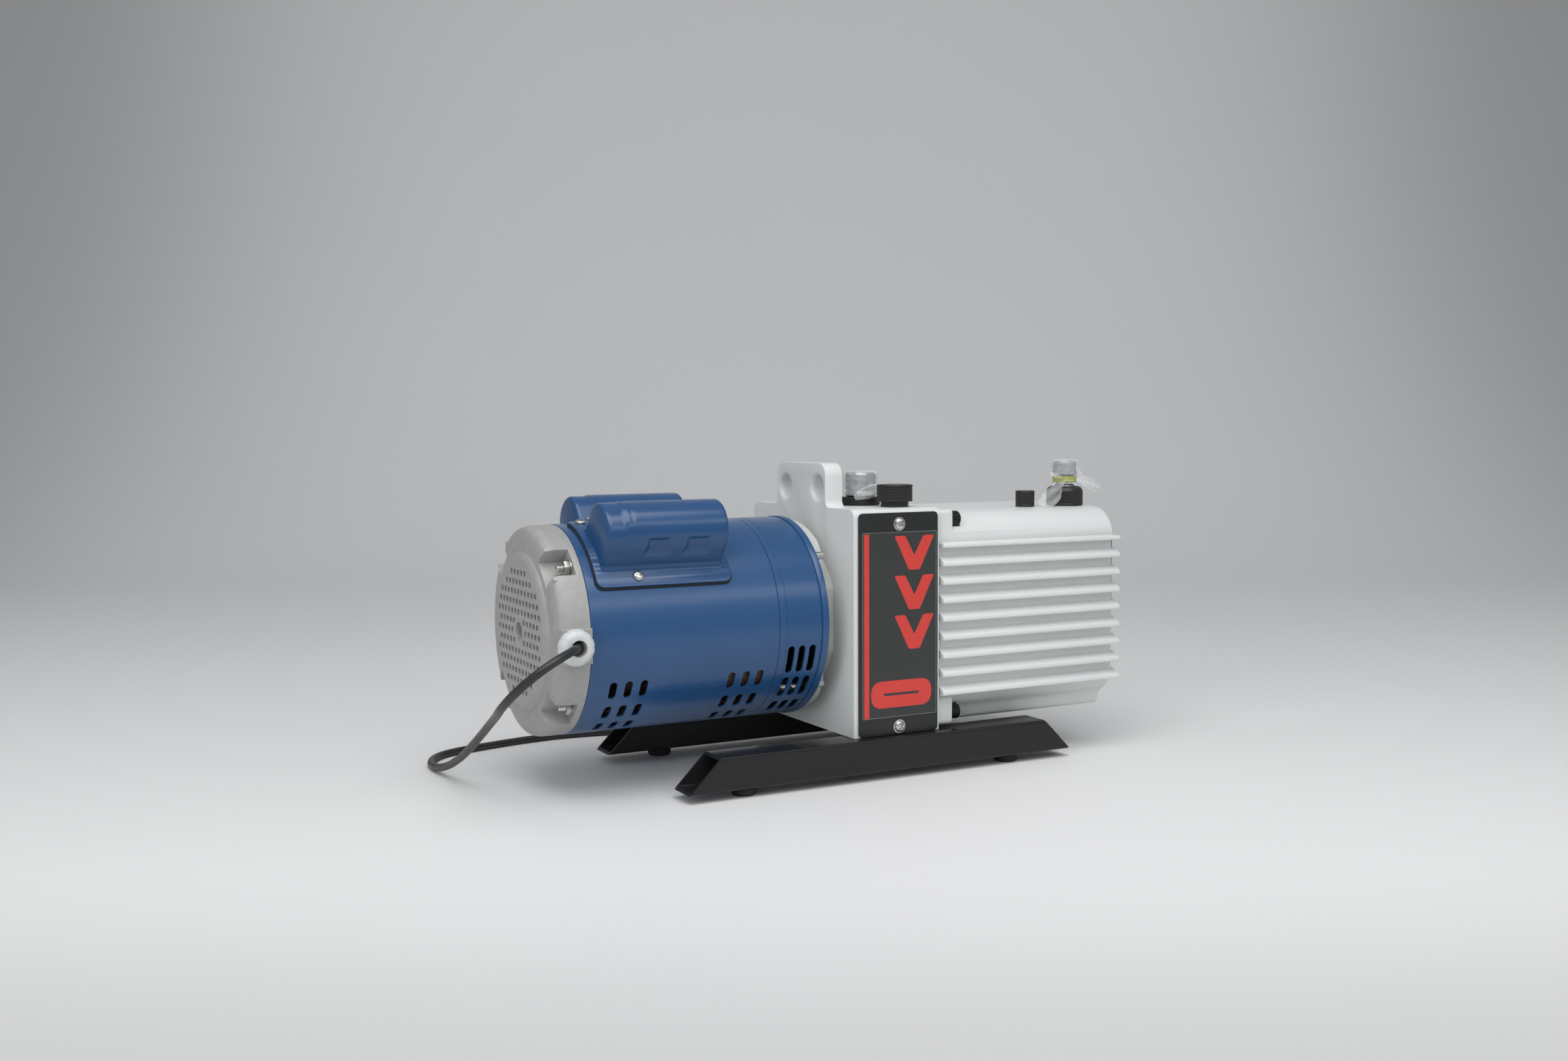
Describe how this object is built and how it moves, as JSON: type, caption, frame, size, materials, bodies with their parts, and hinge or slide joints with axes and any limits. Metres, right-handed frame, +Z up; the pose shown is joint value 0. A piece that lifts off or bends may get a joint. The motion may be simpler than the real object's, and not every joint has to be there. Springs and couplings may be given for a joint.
{
  "type": "rotary vane vacuum pump",
  "caption": "Direct-drive rotary vane vacuum pump: capacitor motor, bracket housing and finned oil casing on two steel rails, with power cord.",
  "frame": {"origin": "on the floor, under the middle of the machine's box, leaving out the cord", "axes": "+X along the shaft from the motor to the oil casing, -Y the side with the label plate, +Z up"},
  "size_m": [0.5707, 0.352, 0.2573],
  "materials": {
    "blue_paint": "satin gloss blue enamel on sheet steel",
    "white_paint": "satin white paint on die-cast aluminium",
    "cast_grey": "bare sand-textured casting, lightly blasted",
    "black_coat": "gloss black powder coat",
    "black_plastic": "moulded black nylon",
    "rubber": "matt black rubber",
    "zinc": "bright zinc plate",
    "white_plastic": "white moulded nylon",
    "clear_film": "thin clear wrapping film, crumpled",
    "yellow_band": "translucent yellow-green rubber band",
    "cable_pvc": "dark grey PVC cable sheath",
    "plate_black": "satin black anodised plate",
    "label_dark": "dark grey vinyl sticker",
    "label_red": "red print on the sticker",
    "window_glass": "clear sight glass with oil behind it",
    "winding": "varnished copper windings in a steel core",
    "steel": "machined steel",
    "dark_steel": "phosphated steel"
  },
  "bodies": {
    "pump_frame": {"bracket_housing": "white_paint", "cable_gland": "white_plastic", "capacitor_cover_far": "blue_paint", "capacitor_cover_near": "blue_paint", "capacitor_far": "black_plastic", "capacitor_near": "black_plastic", "casing_bolt_1": "black_coat", "casing_bolt_2": "black_coat", "casing_bolt_3": "black_coat", "casing_bolt_4": "black_coat", "casing_gasket": "rubber", "cord_coil": "cable_pvc", "cord_tail": "cable_pvc", "cover_gasket_far": "rubber", "cover_gasket_near": "rubber", "cover_screw_far_lower": "zinc", "cover_screw_far_upper": "zinc", "cover_screw_near_lower": "zinc", "cover_screw_near_upper": "zinc", "end_bell": "cast_grey", "exhaust_film": "clear_film", "exhaust_port": "steel", "fan_shroud": "blue_paint", "film_band": "yellow_band", "front_bearing": "steel", "inlet_film": "clear_film", "inlet_port": "steel", "label_plate": "plate_black", "label_screw_lower": "zinc", "label_screw_upper": "zinc", "motor_flange": "cast_grey", "motor_shell": "blue_paint", "motor_stator": "winding", "oil_casing": "white_paint", "power_cord": "cable_pvc", "power_plug": "black_plastic", "pump_cylinder": "dark_steel", "rear_bearing": "steel", "rubber_foot_far_motor": "rubber", "rubber_foot_far_pump": "rubber", "rubber_foot_near_motor": "rubber", "rubber_foot_near_pump": "rubber", "sight_glass": "window_glass", "support_rail_far": "black_coat", "support_rail_near": "black_coat", "through_bolt_1": "zinc", "through_bolt_2": "zinc", "through_bolt_3": "zinc", "through_bolt_4": "zinc"},
    "drive_shaft": {"motor_rotor": "steel", "cooling_fan": "black_plastic", "shaft_coupling": "dark_steel", "pump_rotor": "steel", "vane_upper": "black_plastic", "vane_lower": "black_plastic"},
    "ballast_knob": {"gas_ballast_knob": "black_plastic"},
    "oil_filler": {"filler_plug": "black_plastic"},
    "oil_drain": {"drain_plug": "black_coat"},
    "intake_nut": {"inlet_nut": "black_plastic"},
    "outlet_nut": {"exhaust_nut": "black_plastic"}
  },
  "joints": [
    {"name": "shaft_spin", "type": "hinge", "parent": "pump_frame", "child": "drive_shaft", "pos_m": [-0.01325, 0, 0.128], "axis": [1, 0, 0], "continuous": true},
    {"name": "gas_ballast_turn", "type": "hinge", "parent": "pump_frame", "child": "ballast_knob", "pos_m": [0.04275, -0.06, 0.2192], "axis": [0, 0, 1], "range_deg": [0, 180]},
    {"name": "oil_filler_lift", "type": "slide", "parent": "pump_frame", "child": "oil_filler", "axis": [0, 0, 1], "range_m": [0, 0.03]},
    {"name": "oil_drain_pull", "type": "slide", "parent": "pump_frame", "child": "oil_drain", "axis": [1, 0, 0], "range_m": [0, 0.03]},
    {"name": "intake_nut_turn", "type": "hinge", "parent": "pump_frame", "child": "intake_nut", "pos_m": [0.03375, -0.02, 0.2192], "axis": [0, 0, 1], "range_deg": [0, 360]},
    {"name": "outlet_nut_turn", "type": "hinge", "parent": "pump_frame", "child": "outlet_nut", "pos_m": [0.23575, -0.04, 0.2143], "axis": [0, 0, 1], "range_deg": [0, 360]}
  ]
}
